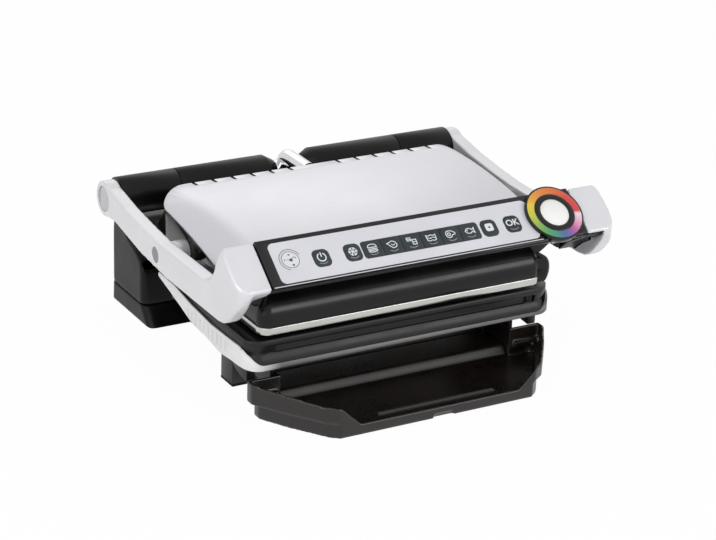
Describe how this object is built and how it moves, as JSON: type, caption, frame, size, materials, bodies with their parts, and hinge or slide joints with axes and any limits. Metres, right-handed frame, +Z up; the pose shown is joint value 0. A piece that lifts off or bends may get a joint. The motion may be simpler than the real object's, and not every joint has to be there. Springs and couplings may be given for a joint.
{
  "type": "electric contact grill",
  "caption": "Electric indoor grill with a lid: floating upper plate on two silver arms, sloping control panel in the handle, ribbed plates and a drip tray in front.",
  "frame": {"origin": "centre of the bounding box in X and Y, on the counter plane in Z", "axes": "X to the grill's right as seen from the front, -Y towards the front (panel and drip tray), Z up"},
  "size_m": [0.36, 0.351, 0.1684],
  "materials": {
    "silver_paint": "satin silver paint",
    "cover_steel": "satin",
    "black_plastic": "semi-gloss black",
    "grey_plastic": "fine-grained dark grey",
    "skirt_plastic": "satin silver-white",
    "foot_rubber": "matt",
    "gland_rubber": "matt",
    "circuit_board": "solder mask",
    "plain_steel": "machined",
    "coated_aluminium": "dark non-stick coating",
    "heater_steel": "oxidised tube",
    "tray_plastic": "gloss black",
    "panel_black": "gloss black",
    "panel_film": "satin silver film",
    "ring_film": "coloured ring under clear lacquer",
    "lens_white": "frosted",
    "key_plastic": "dark slate",
    "chrome": "polished",
    "cap_metal": "satin silver",
    "release_plastic": "matt black"
  },
  "bodies": {
    "base": {"pedestal": "black_plastic", "pedestal_base": "black_plastic", "rear_feet": "foot_rubber", "cord_gland": "gland_rubber", "power_board": "circuit_board", "barrel_left": "black_plastic", "barrel_right": "black_plastic", "hinge_rod": "plain_steel", "lower_housing": "grey_plastic", "housing_skirt": "skirt_plastic", "belly_pan": "grey_plastic", "front_legs": "grey_plastic", "front_feet": "foot_rubber", "lower_plate": "coated_aluminium", "lower_heater": "heater_steel", "base_screws": "plain_steel"},
    "tray": {"drip_tray": "tray_plastic"},
    "lid": {"left_arm": "silver_paint", "right_arm": "silver_paint", "barrel_end_left": "black_plastic", "barrel_end_right": "black_plastic", "hinge_caps": "cap_metal", "handle_body": "black_plastic", "panel_bezel": "panel_black", "panel_overlay": "panel_film", "indicator_bezel": "panel_black", "indicator_ring": "ring_film", "indicator_lens": "lens_white", "control_board": "circuit_board", "arm_screws": "cap_metal", "pivot_pins": "plain_steel", "conduit": "chrome"},
    "head": {"upper_housing": "black_plastic", "top_cover": "cover_steel", "trim_band": "chrome", "upper_plate": "coated_aluminium", "upper_heater": "heater_steel", "pivot_bosses": "silver_paint"},
    "lower_release_button": {"lower_release": "release_plastic"},
    "upper_release_button": {"upper_release": "release_plastic"},
    "power_key_body": {"power_key": "key_plastic"},
    "frozen_key_body": {"frozen_key": "key_plastic"},
    "program_key_1_body": {"program_key_1": "key_plastic"},
    "program_key_2_body": {"program_key_2": "key_plastic"},
    "program_key_3_body": {"program_key_3": "key_plastic"},
    "program_key_4_body": {"program_key_4": "key_plastic"},
    "program_key_5_body": {"program_key_5": "key_plastic"},
    "program_key_6_body": {"program_key_6": "key_plastic"},
    "manual_key_body": {"manual_key": "key_plastic"},
    "ok_key_body": {"ok_key": "key_plastic"}
  },
  "joints": [
    {"name": "lid_hinge", "type": "hinge", "parent": "base", "child": "lid", "pos_m": [0, 0.103, 0.127], "axis": [-1, 0, 0], "range_deg": [0, 95]},
    {"name": "head_tilt", "type": "hinge", "parent": "lid", "child": "head", "pos_m": [0, -0.003, 0.1133], "axis": [-1, 0, 0], "range_deg": [-1, 2]},
    {"name": "tray_slide", "type": "slide", "parent": "base", "child": "tray", "axis": [0, -1, 0], "range_m": [0, 0.12]},
    {"name": "lower_release_slide", "type": "slide", "parent": "base", "child": "lower_release_button", "axis": [1, 0, 0], "range_m": [0, 0.002], "stiffness_N_per_m": 300},
    {"name": "upper_release_slide", "type": "slide", "parent": "head", "child": "upper_release_button", "axis": [1, 0, 0], "range_m": [0, 0.002], "stiffness_N_per_m": 300},
    {"name": "power_key_press", "type": "slide", "parent": "lid", "child": "power_key_body", "axis": [0, 0.6018, -0.7986], "range_m": [0, 0.0008], "stiffness_N_per_m": 800},
    {"name": "frozen_key_press", "type": "slide", "parent": "lid", "child": "frozen_key_body", "axis": [0, 0.6018, -0.7986], "range_m": [0, 0.0008], "stiffness_N_per_m": 800},
    {"name": "program_key_1_press", "type": "slide", "parent": "lid", "child": "program_key_1_body", "axis": [0, 0.6018, -0.7986], "range_m": [0, 0.0008], "stiffness_N_per_m": 800},
    {"name": "program_key_2_press", "type": "slide", "parent": "lid", "child": "program_key_2_body", "axis": [0, 0.6018, -0.7986], "range_m": [0, 0.0008], "stiffness_N_per_m": 800},
    {"name": "program_key_3_press", "type": "slide", "parent": "lid", "child": "program_key_3_body", "axis": [0, 0.6018, -0.7986], "range_m": [0, 0.0008], "stiffness_N_per_m": 800},
    {"name": "program_key_4_press", "type": "slide", "parent": "lid", "child": "program_key_4_body", "axis": [0, 0.6018, -0.7986], "range_m": [0, 0.0008], "stiffness_N_per_m": 800},
    {"name": "program_key_5_press", "type": "slide", "parent": "lid", "child": "program_key_5_body", "axis": [0, 0.6018, -0.7986], "range_m": [0, 0.0008], "stiffness_N_per_m": 800},
    {"name": "program_key_6_press", "type": "slide", "parent": "lid", "child": "program_key_6_body", "axis": [0, 0.6018, -0.7986], "range_m": [0, 0.0008], "stiffness_N_per_m": 800},
    {"name": "manual_key_press", "type": "slide", "parent": "lid", "child": "manual_key_body", "axis": [0, 0.6018, -0.7986], "range_m": [0, 0.0008], "stiffness_N_per_m": 800},
    {"name": "ok_key_press", "type": "slide", "parent": "lid", "child": "ok_key_body", "axis": [0, 0.6018, -0.7986], "range_m": [0, 0.0008], "stiffness_N_per_m": 800}
  ]
}
